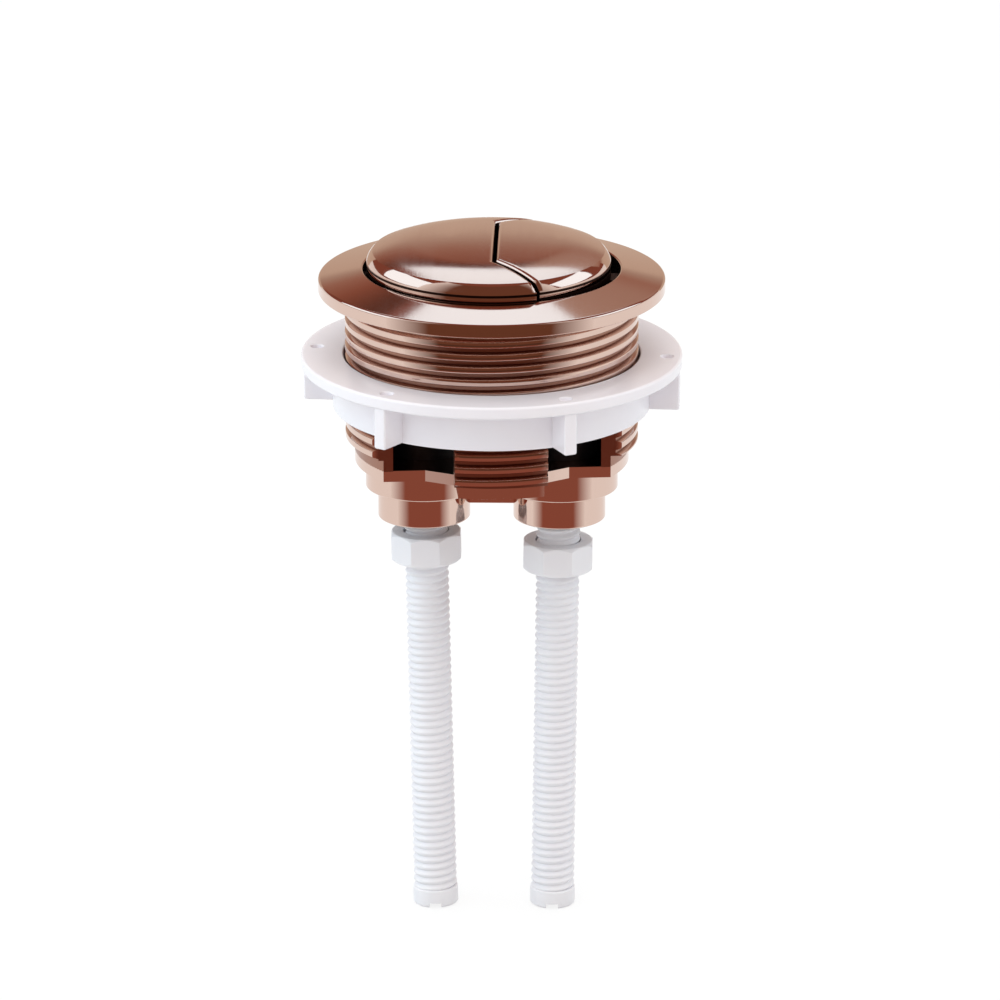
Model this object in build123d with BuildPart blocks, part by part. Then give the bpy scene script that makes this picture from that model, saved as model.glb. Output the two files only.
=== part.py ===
"""Dual flush push button for a cistern lid, in millimetres.

The origin is the middle of the bezel's seat on the lid, +Z is up, X runs from the full flush rod (-X)
to the half flush rod (+X), and -Y is the user's side.
"""
from build123d import *
import math
import os

os.makedirs("parts", exist_ok=True)

# Bezel ring, which stands on the lid
bezel_radius = 33.6
lip_height = 2.6
lip_round = 0.6
bezel_rise = 1.85
opening_radius = 24.9
opening_wall = 1.8
opening_round = 0.3
edge_break = 0.3

# Barrel through the lid, plain over the crests of its thread
thread_radius = 28.5
thread_depth = 1.0
neck_length = 2.1
barrel_wall = 1.9
barrel_length = 33.9
wide_bore_depth = 14.0

# Legs, base plate and the windows between the legs
leg_turn = 5.2
leg_width = 17.9
foot_width = 16.5
post_face = 15.2
post_wall = 1.5
plain_radius = 26.7
plain_height = 4.3
plate_thickness = 2.2
window_height = 11.7
facet_start = 13.9
facet_turn = 30.0
thread_end_gap = 2.3

# Cups under the base plate
cup_spacing = 26.4
upper_cup_radius = 11.4
upper_cup_depth = 6.0
lower_cup_radius = 9.0
lower_cup_depth = 6.2
cup_floor = 1.6
cup_round = 0.4
pocket_wall = 1.5
web_thickness = 1.8
web_depth = 10.4

# Press caps
cap_gap = 0.65
shoulder_width = 1.2
shoulder_height = 1.75
shoulder_bulge = 0.12
rim_rise = 1.55
brow_reach = 15.0
brow_turn = 5.0
crown_turn = 21.3
cap_wall = 1.8
skirt_depth = 7.5
half_cap_shift = 1.2
split_gap = 0.6
split_offset = 0.8
split_flat = 27.7
socket_wall = 1.6
socket_depth = 5.0

# Snap hooks that stop the caps under the opening
hook_catch = 0.4
hook_height = 1.2
hook_width = 5.0
hook_play = 0.1
press_travel = 6.0

# Plungers, return springs
guide_play = 0.1
stem_radius = 7.5
spigot_radius = 5.9
stem_bore = 5.0
collar_length = 6.0
collar_play = 0.25
bell_wall = 0.6
bell_play = 0.2
bell_roof = 1.6
bell_length = 17.2
stem_recess = 0.8
spring_wire = 0.9
spring_turns = 6
spring_seat_play = 0.05
spigot_gap = 0.3
bore_spare = 1.0

# Push rods and their lock nuts
rod_radius = 4.3
rod_foot_radius = 4.45
rod_foot_length = 3.6
rod_foot_round = 0.5
rod_length = 107.0
rod_end_depth = 127.0
rod_travel_in = 12.0
rod_pivot_depth = 35.0
full_rod_lean = 1.28
half_rod_lean = 0.74
slot_width = 2.4
slot_depth = 1.0
nut_sides = 8
nut_across_flats = 13.5
nut_height = 5.9
nut_chamfer = 0.7
nut_play = 0.2
full_nut_depth = 49.1
half_nut_depth = 50.9

# Ring nut that clamps the lid from below
ring_flange_radius = 37.0
ring_flange_thickness = 2.4
ring_hub_radius = 30.9
ring_height = 10.6
ring_play = 0.3
ring_depth = 12.6
ring_round = 0.3
lug_count = 6
lug_width = 2.6
lug_angle = -4.5
pit_radius = 1.2
pit_circle = 34.1
pit_depth = 0.8

# Heights and radii that follow from the sizes above
root_radius = thread_radius - thread_depth
barrel_bore = root_radius - barrel_wall
post_bore = plain_radius - post_wall
opening_height = lip_height + bezel_rise
hook_ledge = opening_height - opening_wall
plate_top = -barrel_length + plate_thickness
cup_step = -barrel_length - upper_cup_depth
cup_bottom = cup_step - lower_cup_depth
pocket_floor = cup_step + cup_floor
pocket_radius = upper_cup_radius - pocket_wall
guide_radius = stem_radius + guide_play
rim_radius = opening_radius - cap_gap
crown_radius = rim_radius - shoulder_width
rim_height = opening_height + rim_rise
crown_height = rim_height + shoulder_height
stem_bottom = cup_bottom + stem_recess
bell_radius = pocket_radius - bell_play
bell_bottom = pocket_floor + press_travel + guide_play
bell_top = bell_bottom + bell_length
rod_top = -rod_end_depth + rod_length

leg_plane = Plane(origin=(0, 0, 0), x_dir=(math.cos(math.radians(leg_turn)), math.sin(math.radians(leg_turn)), 0),
                  z_dir=(0, 0, 1))
cup_places = [(-cup_spacing / 2, 0), (cup_spacing / 2, 0)]


# Housing: bezel, threaded barrel, legs, base plate and cups moulded in one piece and plated
with BuildPart() as housing:
    with BuildSketch(Plane.XZ) as wall_section:
        with BuildLine():
            Polyline(
                (post_bore, -barrel_length),
                (root_radius, -barrel_length),
                (root_radius, thread_end_gap - barrel_length),
                (thread_radius, thread_end_gap - barrel_length),
                (thread_radius, -neck_length),
                (root_radius, -neck_length),
                (root_radius, 0),
                (bezel_radius, 0),
                (bezel_radius, lip_height),
                (opening_radius, opening_height),
                (opening_radius, hook_ledge),
                (barrel_bore, hook_ledge),
                (barrel_bore, -wide_bore_depth),
                (post_bore, -wide_bore_depth - barrel_bore + post_bore),
                close=True,
            )
        make_face()
        fillet(wall_section.vertices().group_by(Axis.X)[-1].sort_by(Axis.Y)[-1], lip_round)
        fillet(wall_section.vertices().group_by(Axis.X)[-1].sort_by(Axis.Y)[0], edge_break)
        fillet(wall_section.vertices().sort_by(Axis.Y)[-1], opening_round)
    revolve(axis=Axis.Z)

    # At the sides the foot of the barrel is thinner, and only the front and back legs keep their full thickness
    with BuildSketch(leg_plane.offset(-barrel_length)):
        Circle(bezel_radius)
        Circle(plain_radius, mode=Mode.SUBTRACT)
        Rectangle(leg_width, 2 * bezel_radius, mode=Mode.SUBTRACT)
    extrude(amount=plain_height, mode=Mode.SUBTRACT)

    # Base plate
    with BuildSketch(Plane.XY.offset(-barrel_length)):
        Circle((post_bore + plain_radius) / 2)
    extrude(amount=plate_thickness)

    # Four windows between the legs
    window_width = (2 * bezel_radius - leg_width) / 2
    window_depth = bezel_radius - post_face
    window_places = [
        (side * (leg_width + window_width) / 2, face * (post_face + window_depth / 2))
        for side in (-1, 1)
        for face in (-1, 1)
    ]
    with BuildSketch(leg_plane.offset(plate_top)):
        with Locations(*window_places):
            Rectangle(window_width, window_depth)
    extrude(amount=window_height, mode=Mode.SUBTRACT)

    # Under each window the plate has a flat in line with the side post and a facet towards the foot of the leg
    foot_side = foot_width / 2
    facet_end = post_face + (facet_start - foot_side) * math.tan(math.radians(facet_turn))
    with BuildSketch(leg_plane.offset(-barrel_length)):
        with BuildLine():
            Polyline(
                (facet_start, post_face),
                (bezel_radius, post_face),
                (bezel_radius, bezel_radius),
                (foot_side, bezel_radius),
                (foot_side, facet_end),
                close=True,
            )
        make_face()
        mirror(about=Plane.XZ)
        mirror(about=Plane.YZ)
    extrude(amount=plate_thickness, mode=Mode.SUBTRACT)

    # Stepped cups, the upper step for the spring and the lower step to guide the plunger
    with BuildSketch(Plane.XY.offset(-barrel_length)):
        with Locations(*cup_places):
            Circle(upper_cup_radius)
    extrude(amount=-upper_cup_depth)
    fillet(housing.edges(Select.LAST).group_by(Axis.Z)[0], cup_round)
    with BuildSketch(Plane.XY.offset(cup_step)):
        with Locations(*cup_places):
            Circle(lower_cup_radius)
    extrude(amount=-lower_cup_depth)
    fillet(housing.edges(Select.LAST).group_by(Axis.Z)[0], cup_round)
    with BuildSketch(Plane.XY.offset(-barrel_length)):
        Rectangle(cup_spacing - lower_cup_radius - guide_radius, web_thickness)
    extrude(amount=-web_depth)
    with BuildSketch(Plane.XY.offset(plate_top)):
        with Locations(*cup_places):
            Circle(pocket_radius)
    extrude(amount=pocket_floor - plate_top, mode=Mode.SUBTRACT)
    with BuildSketch(Plane.XY.offset(pocket_floor)):
        with Locations(*cup_places):
            Circle(guide_radius)
    extrude(amount=cup_bottom - pocket_floor, mode=Mode.SUBTRACT)
housing.part.label = "housing"
export_step(housing.part, "parts/housing.step")


# Press caps: one domed shell, parted along a line that breaks back towards the rim at both ends
brow_slope = math.radians(brow_turn)
crown_slope = math.radians(crown_turn)
centre_arc = brow_reach / math.sin(brow_slope)
crown_arc = (crown_radius - brow_reach) / (math.sin(crown_slope) - math.sin(brow_slope))
centre_rise = centre_arc * (1 - math.cos(brow_slope))
dome_top = crown_height + centre_rise + crown_arc * (math.cos(brow_slope) - math.cos(crown_slope))
skirt_bottom = rim_height - skirt_depth
socket_bottom = crown_height - cap_wall - socket_depth
socket_bore = spigot_radius + guide_play
hook_radius = opening_radius + hook_catch


def split_corners(side, inset):
    """Corners, seen from above, of the area kept by the full flush cap (side -1) or the half flush cap (side 1)."""
    step = split_gap / 2 + inset
    edge = split_offset + side * step
    half_flat = split_flat / 2 - side * step * math.tan(math.radians(22.5))
    far_x = edge + 2 * bezel_radius
    far_y = half_flat + 2 * bezel_radius
    corners = [(far_x, -far_y), (edge, -half_flat), (edge, half_flat), (far_x, far_y)]
    if side < 0:
        corners += [(-far_x, far_y), (-far_x, -far_y)]
    return corners


def cap_blank(side, shift, inset, bottom):
    """The solid form of a cap, drawn in from its outside by the inset."""
    with BuildPart() as blank:
        with BuildSketch(Plane(origin=(shift, 0, 0), x_dir=(1, 0, 0), z_dir=(0, -1, 0))):
            with BuildLine():
                centre = JernArc((0, dome_top - inset), (1, 0), centre_arc - inset, -brow_turn)
                brow = JernArc(centre @ 1, centre % 1, crown_arc - inset, brow_turn - crown_turn)
                shoulder = SagittaArc(brow @ 1, (rim_radius - inset, rim_height - inset / 2), shoulder_bulge)
                Polyline(shoulder @ 1, (rim_radius - inset, bottom), (0, bottom), centre @ 0)
            make_face()
        revolve(axis=Axis((shift, 0, 0), (0, 0, 1)))
        with BuildSketch(Plane.XY.offset(bottom)):
            with BuildLine():
                Polyline(*split_corners(side, inset), close=True)
            make_face()
        extrude(amount=dome_top - bottom, mode=Mode.INTERSECT)
    return blank.part


def press_cap(side, shift, hook_turns):
    """A hollow cap with the socket for its plunger and the snap hooks that stop it under the opening."""
    outside = cap_blank(side, shift, 0, skirt_bottom)
    with BuildPart() as socket:
        with BuildSketch(Plane.XY.offset(socket_bottom)):
            with Locations((side * cup_spacing / 2, 0)):
                Circle(socket_bore + socket_wall)
                Circle(socket_bore, mode=Mode.SUBTRACT)
        extrude(amount=dome_top - socket_bottom)
        add(outside, mode=Mode.INTERSECT)
    with BuildPart() as cap:
        add(outside)
        add(cap_blank(side, shift, cap_wall, skirt_bottom), mode=Mode.SUBTRACT)
        add(socket.part)
        with BuildSketch(Plane.XY.offset(hook_ledge - hook_play - hook_height)):
            with Locations(*[Location((0, 0, 0), (0, 0, turn)) for turn in hook_turns]):
                Rectangle(hook_radius + hook_catch, hook_width, align=(Align.MIN, Align.CENTER))
            Circle(hook_radius, mode=Mode.INTERSECT)
            Circle(rim_radius - abs(shift) - cap_wall / 2, mode=Mode.SUBTRACT)
        extrude(amount=hook_height)
    return cap.part


full_flush_cap = press_cap(-1, 0, (130, 180, 230))
full_flush_cap.label = "full_flush_cap"
export_step(full_flush_cap, "parts/full_flush_cap.step")
half_flush_cap = press_cap(1, -half_cap_shift, (-45, 0, 45))
half_flush_cap.label = "half_flush_cap"
export_step(half_flush_cap, "parts/half_flush_cap.step")


# Plungers: a stem guided by the lower cup, a bell that covers the spring, and a collar that holds the rod
collar_radius = rod_radius + collar_play
collar_top = -rod_pivot_depth + collar_length / 2
bore_top = rod_top + rod_travel_in + bore_spare
spigot_top = crown_height - cap_wall - spigot_gap
bell_inner = bell_radius - bell_wall


def plunger(side):
    """A plunger, turned about the axis of its cup."""
    place = side * cup_spacing / 2
    with BuildPart() as body:
        with BuildSketch(Plane(origin=(place, 0, 0), x_dir=(1, 0, 0), z_dir=(0, -1, 0))):
            with BuildLine():
                Polyline(
                    (stem_bore, stem_bottom),
                    (stem_bore, collar_top - collar_length),
                    (collar_radius, collar_top - collar_length),
                    (collar_radius, collar_top),
                    (stem_bore, collar_top),
                    (stem_bore, bore_top),
                    (0, bore_top),
                    (0, spigot_top),
                    (spigot_radius, spigot_top),
                    (spigot_radius, socket_bottom),
                    (stem_radius, socket_bottom),
                    (stem_radius, bell_top),
                    (bell_radius, bell_top),
                    (bell_radius, bell_bottom),
                    (bell_inner, bell_bottom),
                    (bell_inner, bell_top - bell_roof),
                    (stem_radius, bell_top - bell_roof),
                    (stem_radius, stem_bottom),
                    close=True,
                )
            make_face()
        revolve(axis=Axis((place, 0, 0), (0, 0, 1)))
    return body.part


# Return springs: one wire coiled between the cup's floor and the bell's roof
def return_spring(side):
    """A coil spring with its end turns' middles half a wire inside their seats."""
    low = pocket_floor + spring_seat_play + spring_wire / 2
    high = bell_top - bell_roof - spring_seat_play - spring_wire / 2
    coil_radius = (stem_radius + bell_inner) / 2
    with BuildPart() as spring:
        with BuildLine() as coil:
            Helix((high - low) / spring_turns, high - low, coil_radius, center=(side * cup_spacing / 2, 0, low))
        with BuildSketch(Plane(origin=coil.line @ 0, x_dir=(1, 0, 0), z_dir=coil.line % 0)):
            Circle(spring_wire / 2)
        sweep(path=coil.line, is_frenet=True)
    return spring.part


# Push rods: each leans a little towards the middle, as the photograph shows, about its plunger's collar
def rod_plane(side, lean, depth):
    """A plane square to a rod's axis, where the axis has gone down by the depth from the seat."""
    slope = math.radians(lean)
    drop = depth - rod_pivot_depth
    middle = (side * (cup_spacing / 2 - drop * math.tan(slope)), 0, -depth)
    return Plane(origin=middle, x_dir=(math.cos(slope), 0, -side * math.sin(slope)),
                 z_dir=(side * math.sin(slope), 0, math.cos(slope)))


def push_rod(side, lean):
    """A rod with a plain foot that has a screwdriver slot."""
    foot = rod_plane(side, lean, rod_end_depth)
    with BuildPart() as rod:
        with BuildSketch(foot):
            Circle(rod_foot_radius)
        extrude(amount=rod_foot_length)
        fillet(rod.edges().sort_by(Axis.Z)[0], rod_foot_round)
        with BuildSketch(foot.offset(rod_foot_length)):
            Circle(rod_radius)
        extrude(amount=rod_length - rod_foot_length)
        with BuildSketch(foot):
            Rectangle(slot_width, 2 * rod_foot_radius + slot_width)
        extrude(amount=slot_depth, mode=Mode.SUBTRACT)
    return rod.part


# Lock nuts: eight flats, their corners turned off at top and bottom
def lock_nut(side, lean, depth):
    """A lock nut on a rod, its top at the depth and one flat square to the user."""
    top = rod_plane(side, lean, depth)
    corner_radius = nut_across_flats / 2 / math.cos(math.pi / nut_sides)
    with BuildPart() as nut:
        with BuildSketch(top):
            RegularPolygon(nut_across_flats / 2, nut_sides, major_radius=False, rotation=180 / nut_sides)
        extrude(amount=-nut_height)
        with BuildSketch(Plane(origin=top.origin, x_dir=top.x_dir, z_dir=-top.y_dir)):
            with BuildLine():
                Polyline(
                    (0, 0),
                    (corner_radius - nut_chamfer, 0),
                    (corner_radius, -nut_chamfer),
                    (corner_radius, nut_chamfer - nut_height),
                    (corner_radius - nut_chamfer, -nut_height),
                    (0, -nut_height),
                    close=True,
                )
            make_face()
        revolve(axis=Axis(top.origin, top.z_dir), mode=Mode.INTERSECT)
        with BuildSketch(top):
            Circle(rod_radius + nut_play)
        extrude(amount=-nut_height, mode=Mode.SUBTRACT)
    return nut.part


sides = {"full": (-1, full_rod_lean, full_nut_depth), "half": (1, half_rod_lean, half_nut_depth)}
for name, (side, lean, nut_depth) in sides.items():
    pieces = {
        "plunger": plunger(side),
        "spring": return_spring(side),
        "rod": push_rod(side, lean),
        "lock_nut": lock_nut(side, lean, nut_depth),
    }
    for kind, piece in pieces.items():
        piece.label = f"{name}_{kind}"
        export_step(piece, f"parts/{name}_{kind}.step")


# Ring nut: flange, hub and six lugs, with a small pit in the flange over each lug
with BuildPart() as ring_nut:
    with BuildSketch(Plane.XZ) as ring_section:
        with BuildLine():
            Polyline(
                (thread_radius + ring_play, -ring_depth),
                (ring_flange_radius, -ring_depth),
                (ring_flange_radius, -ring_depth - ring_flange_thickness),
                (ring_hub_radius, -ring_depth - ring_flange_thickness),
                (ring_hub_radius, -ring_depth - ring_height),
                (thread_radius + ring_play, -ring_depth - ring_height),
                close=True,
            )
        make_face()
        fillet(ring_section.vertices().group_by(Axis.X)[-1], ring_round)
    revolve(axis=Axis.Z)
    lug_plane = Plane.XY.offset(-ring_depth - ring_height)
    lug_turns = [lug_angle + 360 / lug_count * count for count in range(lug_count)]
    with BuildSketch(lug_plane):
        with Locations(*[Location((0, 0, 0), (0, 0, turn)) for turn in lug_turns]):
            Rectangle(ring_flange_radius + lug_width, lug_width, align=(Align.MIN, Align.CENTER))
        Circle(ring_flange_radius - ring_round, mode=Mode.INTERSECT)
        Circle((thread_radius + ring_play + ring_hub_radius) / 2, mode=Mode.SUBTRACT)
    extrude(amount=ring_height - ring_flange_thickness)
    with BuildSketch(Plane.XY.offset(-ring_depth)):
        with PolarLocations(pit_circle, lug_count, start_angle=lug_angle):
            Circle(pit_radius)
    extrude(amount=-pit_depth, mode=Mode.SUBTRACT)
ring_nut.part.label = "ring_nut"
export_step(ring_nut.part, "parts/ring_nut.step")
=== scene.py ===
"""Dual flush push button for a cistern lid: plated bezel, barrel and press caps, white ring nut and push rods.

Sizes are in millimetres and turned to Blender's metres by MM. +Z is up out of the lid, -Y is the user's side.
"""
import math

import bpy
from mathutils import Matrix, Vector


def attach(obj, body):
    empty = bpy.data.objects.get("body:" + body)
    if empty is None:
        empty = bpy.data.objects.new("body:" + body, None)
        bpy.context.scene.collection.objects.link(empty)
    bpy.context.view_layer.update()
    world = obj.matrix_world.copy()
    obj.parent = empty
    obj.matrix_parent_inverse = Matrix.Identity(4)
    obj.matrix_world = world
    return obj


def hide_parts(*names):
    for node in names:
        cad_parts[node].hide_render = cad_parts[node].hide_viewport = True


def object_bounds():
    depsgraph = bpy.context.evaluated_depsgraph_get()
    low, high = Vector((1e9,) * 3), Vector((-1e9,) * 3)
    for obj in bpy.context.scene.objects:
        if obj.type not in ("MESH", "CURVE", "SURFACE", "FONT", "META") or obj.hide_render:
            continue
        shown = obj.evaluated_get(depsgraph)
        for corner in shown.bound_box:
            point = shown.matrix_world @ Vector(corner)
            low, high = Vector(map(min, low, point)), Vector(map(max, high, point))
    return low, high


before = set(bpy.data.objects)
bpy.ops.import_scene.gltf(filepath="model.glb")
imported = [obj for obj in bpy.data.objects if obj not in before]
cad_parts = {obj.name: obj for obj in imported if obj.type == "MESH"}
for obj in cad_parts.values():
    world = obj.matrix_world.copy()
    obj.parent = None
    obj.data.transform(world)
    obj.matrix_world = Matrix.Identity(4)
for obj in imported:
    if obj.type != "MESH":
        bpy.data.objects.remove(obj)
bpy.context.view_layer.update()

MM = 0.001

# ---- Camera ----
# A long lens in front of the button and a little above it, at the photograph's distance and height. It
# looks at TARGET, a little to the right of the middle.
TARGET = Vector((1.6, 0.0, -43.0)) * MM
CAMERA_DISTANCE = 1348 * MM
CAMERA_HEIGHT_ANGLE = math.radians(18.2)
CAMERA_TURN = math.radians(1.2)
FOCAL_LENGTH = 248.4

to_camera = Vector((
    math.sin(CAMERA_TURN) * math.cos(CAMERA_HEIGHT_ANGLE),
    -math.cos(CAMERA_TURN) * math.cos(CAMERA_HEIGHT_ANGLE),
    math.sin(CAMERA_HEIGHT_ANGLE),
))
bpy.ops.object.camera_add(
    location=TARGET + to_camera * CAMERA_DISTANCE,
    rotation=(-to_camera).to_track_quat("-Z", "Y").to_euler(),
)
camera = bpy.context.object
camera.data.lens = FOCAL_LENGTH
camera.data.sensor_width = 36
bpy.context.scene.camera = camera
bpy.context.scene.view_settings.view_transform = "Standard"


# ---- Photographer's table ----
# A white floor that curves up into a low wall all round, as a light tent does, so the plated parts
# mirror white from below and from the horizon.
FLOOR_RADIUS = 2300
COVE_RADIUS = 350
WALL_TOP = 520
TABLE_GLOW = 1.06
TABLE_GLOW_SHARE = 0.8


def linear(colour):
    """An sRGB colour such as #d9a48c as linear red, green, blue and alpha."""
    channels = [int(colour[place:place + 2], 16) / 255 for place in (1, 3, 5)]
    return [c / 12.92 if c <= 0.04045 else ((c + 0.055) / 1.055) ** 2.4 for c in channels] + [1.0]


def add_node(tree, kind, settings=None, links=None):
    """Adds a node, gives it its settings, and links its inputs, by name or place, to other nodes' outputs."""
    new = tree.nodes.new(kind)
    for name, value in (settings or {}).items():
        if isinstance(name, int) or name in new.inputs:
            new.inputs[name].default_value = value
        else:
            setattr(new, name, value)
    for name, output in (links or {}).items():
        tree.links.new(output, new.inputs[name])
    return new


def new_material(name):
    """An empty node material and its tree."""
    material = bpy.data.materials.new(name)
    material.use_nodes = True
    material.node_tree.nodes.clear()
    return material, material.node_tree


def clear_selection():
    """Leaves edit mode and deselects every object."""
    if bpy.context.object and bpy.context.object.mode != "OBJECT":
        bpy.ops.object.mode_set(mode="OBJECT")
    bpy.ops.object.select_all(action="DESELECT")


def turned(name, rings, steps=192, centre=(0.0, 0.0), floor=False):
    """Turns an outline of (radius, height) pairs about an upright axis, extruding one ring after another."""
    clear_selection()
    radius, height = rings[0]
    bpy.ops.mesh.primitive_circle_add(
        vertices=steps, radius=radius * MM, fill_type="NGON" if floor else "NOTHING",
        location=(centre[0] * MM, centre[1] * MM, height * MM),
    )
    piece = bpy.context.object
    piece.name = name
    bpy.ops.object.transform_apply()
    bpy.ops.object.mode_set(mode="EDIT")
    bpy.ops.mesh.select_all(action="SELECT")
    for next_radius, next_height in rings[1:]:
        rise = (next_height - height) * MM
        bpy.ops.mesh.extrude_edges_move(TRANSFORM_OT_translate={"value": (0, 0, rise)})
        ratio = next_radius / radius
        middle = (centre[0] * MM, centre[1] * MM, next_height * MM)
        bpy.ops.transform.resize(value=(ratio, ratio, 1), center_override=middle)
        radius, height = next_radius, next_height
    bpy.ops.mesh.select_all(action="SELECT")
    bpy.ops.mesh.remove_doubles(threshold=MM / 2000)
    bpy.ops.mesh.normals_make_consistent(inside=False)
    bpy.ops.object.mode_set(mode="OBJECT")
    return piece


floor_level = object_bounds()[0].z / MM
cove = [(FLOOR_RADIUS + COVE_RADIUS * math.sin(turn), floor_level + COVE_RADIUS * (1 - math.cos(turn)))
        for turn in (math.radians(15 * step) for step in range(1, 7))]
table = turned("table", [(FLOOR_RADIUS, floor_level)] + cove + [(FLOOR_RADIUS + COVE_RADIUS, floor_level + WALL_TOP)],
               floor=True)
bpy.ops.object.shade_smooth_by_angle(angle=math.radians(30))
table_paper, tree = new_material("white_card")
path = add_node(tree, "ShaderNodeLightPath")
either = add_node(tree, "ShaderNodeMath", {"operation": "MAXIMUM"},
                  {0: path.outputs["Is Camera Ray"], 1: path.outputs["Is Glossy Ray"]})
seen = add_node(tree, "ShaderNodeMath", {"operation": "MAXIMUM"},
                {0: either.outputs[0], 1: path.outputs["Is Transmission Ray"]})
share = add_node(tree, "ShaderNodeMath", {"operation": "MULTIPLY", 1: TABLE_GLOW_SHARE}, {0: seen.outputs[0]})
card = add_node(tree, "ShaderNodeBsdfDiffuse", {"Color": linear("#dadada")})
glow = add_node(tree, "ShaderNodeEmission", {"Color": linear("#ffffff"), "Strength": TABLE_GLOW})
blend = add_node(tree, "ShaderNodeMixShader", {}, {0: share.outputs[0], 1: card.outputs[0], 2: glow.outputs[0]})
add_node(tree, "ShaderNodeOutputMaterial", {}, {"Surface": blend.outputs[0]})
table.data.materials.append(table_paper)


# ---- Lamps ----
# Three soft boxes: one high behind the button, which the bezel and the crown mirror, and one on each side.
# Two fill lamps light it too, and reflections don't see them. Cards that only reflections see stand
# round the button and give the plating its red and tan parts.
LAMP_DISTANCE = 1200
FILL_DISTANCE = 1500
BOX_COLOUR = "#cdf0ff"
FILL_COLOUR = "#fff6ef"


def soft_box(name, turn, height_angle, distance, width, height, colour, radiance):
    """A rectangular lamp that faces the bezel. turn is counted from straight behind towards the right."""
    turn, height_angle = math.radians(turn), math.radians(height_angle)
    way = Vector((math.sin(turn) * math.cos(height_angle), math.cos(turn) * math.cos(height_angle),
                  math.sin(height_angle)))
    bpy.ops.object.light_add(type="AREA", location=way * distance * MM,
                             rotation=way.to_track_quat("Z", "Y").to_euler())
    lamp = bpy.context.object
    lamp.name = name
    lamp.data.shape = "RECTANGLE"
    lamp.data.size, lamp.data.size_y = width * MM, height * MM
    lamp.data.color = linear(colour)[:3]
    lamp.data.energy = radiance * math.pi * width * height * MM * MM
    lamp.visible_camera = False
    return lamp


soft_box("back_soft_box", 1, 51, LAMP_DISTANCE, 680, 545, BOX_COLOUR, 1.6)
soft_box("left_soft_box", -103, 32, LAMP_DISTANCE, 1900, 700, BOX_COLOUR, 1.82)
soft_box("right_soft_box", 84, 28, LAMP_DISTANCE, 900, 560, BOX_COLOUR, 1.82)
soft_box("overhead_fill", 0, 90, FILL_DISTANCE, 1500, 1500, FILL_COLOUR, 0.8).visible_glossy = False
soft_box("front_fill", 180, 58, FILL_DISTANCE, 900, 500, FILL_COLOUR, 2.6).visible_glossy = False

world = bpy.data.worlds.new("studio")
bpy.context.scene.world = world
world.use_nodes = True
tree = world.node_tree
tree.nodes.clear()
path = add_node(tree, "ShaderNodeLightPath")
dim = add_node(tree, "ShaderNodeBackground", {"Color": linear("#8a4f40"), "Strength": 1.0})
fill = add_node(tree, "ShaderNodeBackground", {"Color": linear(FILL_COLOUR), "Strength": 0.8})
backdrop = add_node(tree, "ShaderNodeBackground", {"Color": linear("#ffffff"), "Strength": 1.0})
walls = add_node(tree, "ShaderNodeMixShader", {},
                 {0: path.outputs["Is Glossy Ray"], 1: fill.outputs[0], 2: dim.outputs[0]})
around = add_node(tree, "ShaderNodeMixShader", {},
                  {0: path.outputs["Is Camera Ray"], 1: walls.outputs[0], 2: backdrop.outputs[0]})
add_node(tree, "ShaderNodeOutputWorld", {}, {"Surface": around.outputs[0]})


def graded_card(card, name, stops, fade=None):
    """Makes an object a card that only reflections see, its glow graded over height in millimetres.

    fade gives two angles off the front between which the glow goes over into the white of the table.
    """
    card.visible_camera = card.visible_diffuse = card.visible_shadow = False
    material, tree = new_material(name)
    place = add_node(tree, "ShaderNodeTexCoord")
    axes = add_node(tree, "ShaderNodeSeparateXYZ", {}, {0: place.outputs["Object"]})
    low, high = stops[0][0], stops[-1][0]
    rise = add_node(tree, "ShaderNodeMapRange", {"From Min": low * MM, "From Max": high * MM},
                    {"Value": axes.outputs[2]})
    ramp = add_node(tree, "ShaderNodeValToRGB", {}, {0: rise.outputs[0]})
    for count, (height, colour) in enumerate(stops):
        share = (height - low) / (high - low)
        stop = ramp.color_ramp.elements[count] if count < 2 else ramp.color_ramp.elements.new(share)
        stop.position = share
        stop.color = linear(colour)
    colour = ramp.outputs[0]
    if fade:
        across = add_node(tree, "ShaderNodeMath", {"operation": "ABSOLUTE"}, {0: axes.outputs[0]})
        ahead = add_node(tree, "ShaderNodeMath", {"operation": "MULTIPLY", 1: -1.0}, {0: axes.outputs[1]})
        angle = add_node(tree, "ShaderNodeMath", {"operation": "ARCTAN2"},
                         {0: across.outputs[0], 1: ahead.outputs[0]})
        start, end = map(math.radians, fade)
        faded = add_node(tree, "ShaderNodeMapRange", {"From Min": start, "From Max": end},
                         {"Value": angle.outputs[0]})
        colour = add_node(tree, "ShaderNodeMix", {"data_type": "RGBA", 7: linear("#fbfaf9")},
                          {0: faded.outputs[0], 6: colour}).outputs[2]
    glow = add_node(tree, "ShaderNodeEmission", {"Strength": 1.0}, {"Color": colour})
    add_node(tree, "ShaderNodeOutputMaterial", {}, {"Surface": glow.outputs[0]})
    card.data.materials.append(material)


def upright_card(name, left, right, distance, low, high, stops):
    """A flat graded card behind the button, square to the user."""
    clear_selection()
    middle = ((left + right) / 2 * MM, distance * MM, (low + high) / 2 * MM)
    bpy.ops.mesh.primitive_plane_add(size=MM, location=middle, rotation=(math.radians(90), 0, 0))
    card = bpy.context.object
    card.name = name
    card.scale = (right - left, high - low, 1)
    bpy.ops.object.transform_apply()
    graded_card(card, f"{name}_glow", stops)


# The backdrop behind, light near the horizon and dark red under the back soft box, with a lighter card
# on its right
upright_card("back_card", -620, 700, 900, -127, 660, [
    (-127, "#d0b8a5"), (235, "#d0b8a5"), (275, "#b59a8a"), (340, "#a57665"), (450, "#935a48"), (600, "#643d31"),
])
upright_card("side_glow_card", 70, 900, 880, 330, 700, [(330, "#a57665"), (430, "#b08c7d"), (700, "#b99a8c")])

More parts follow.
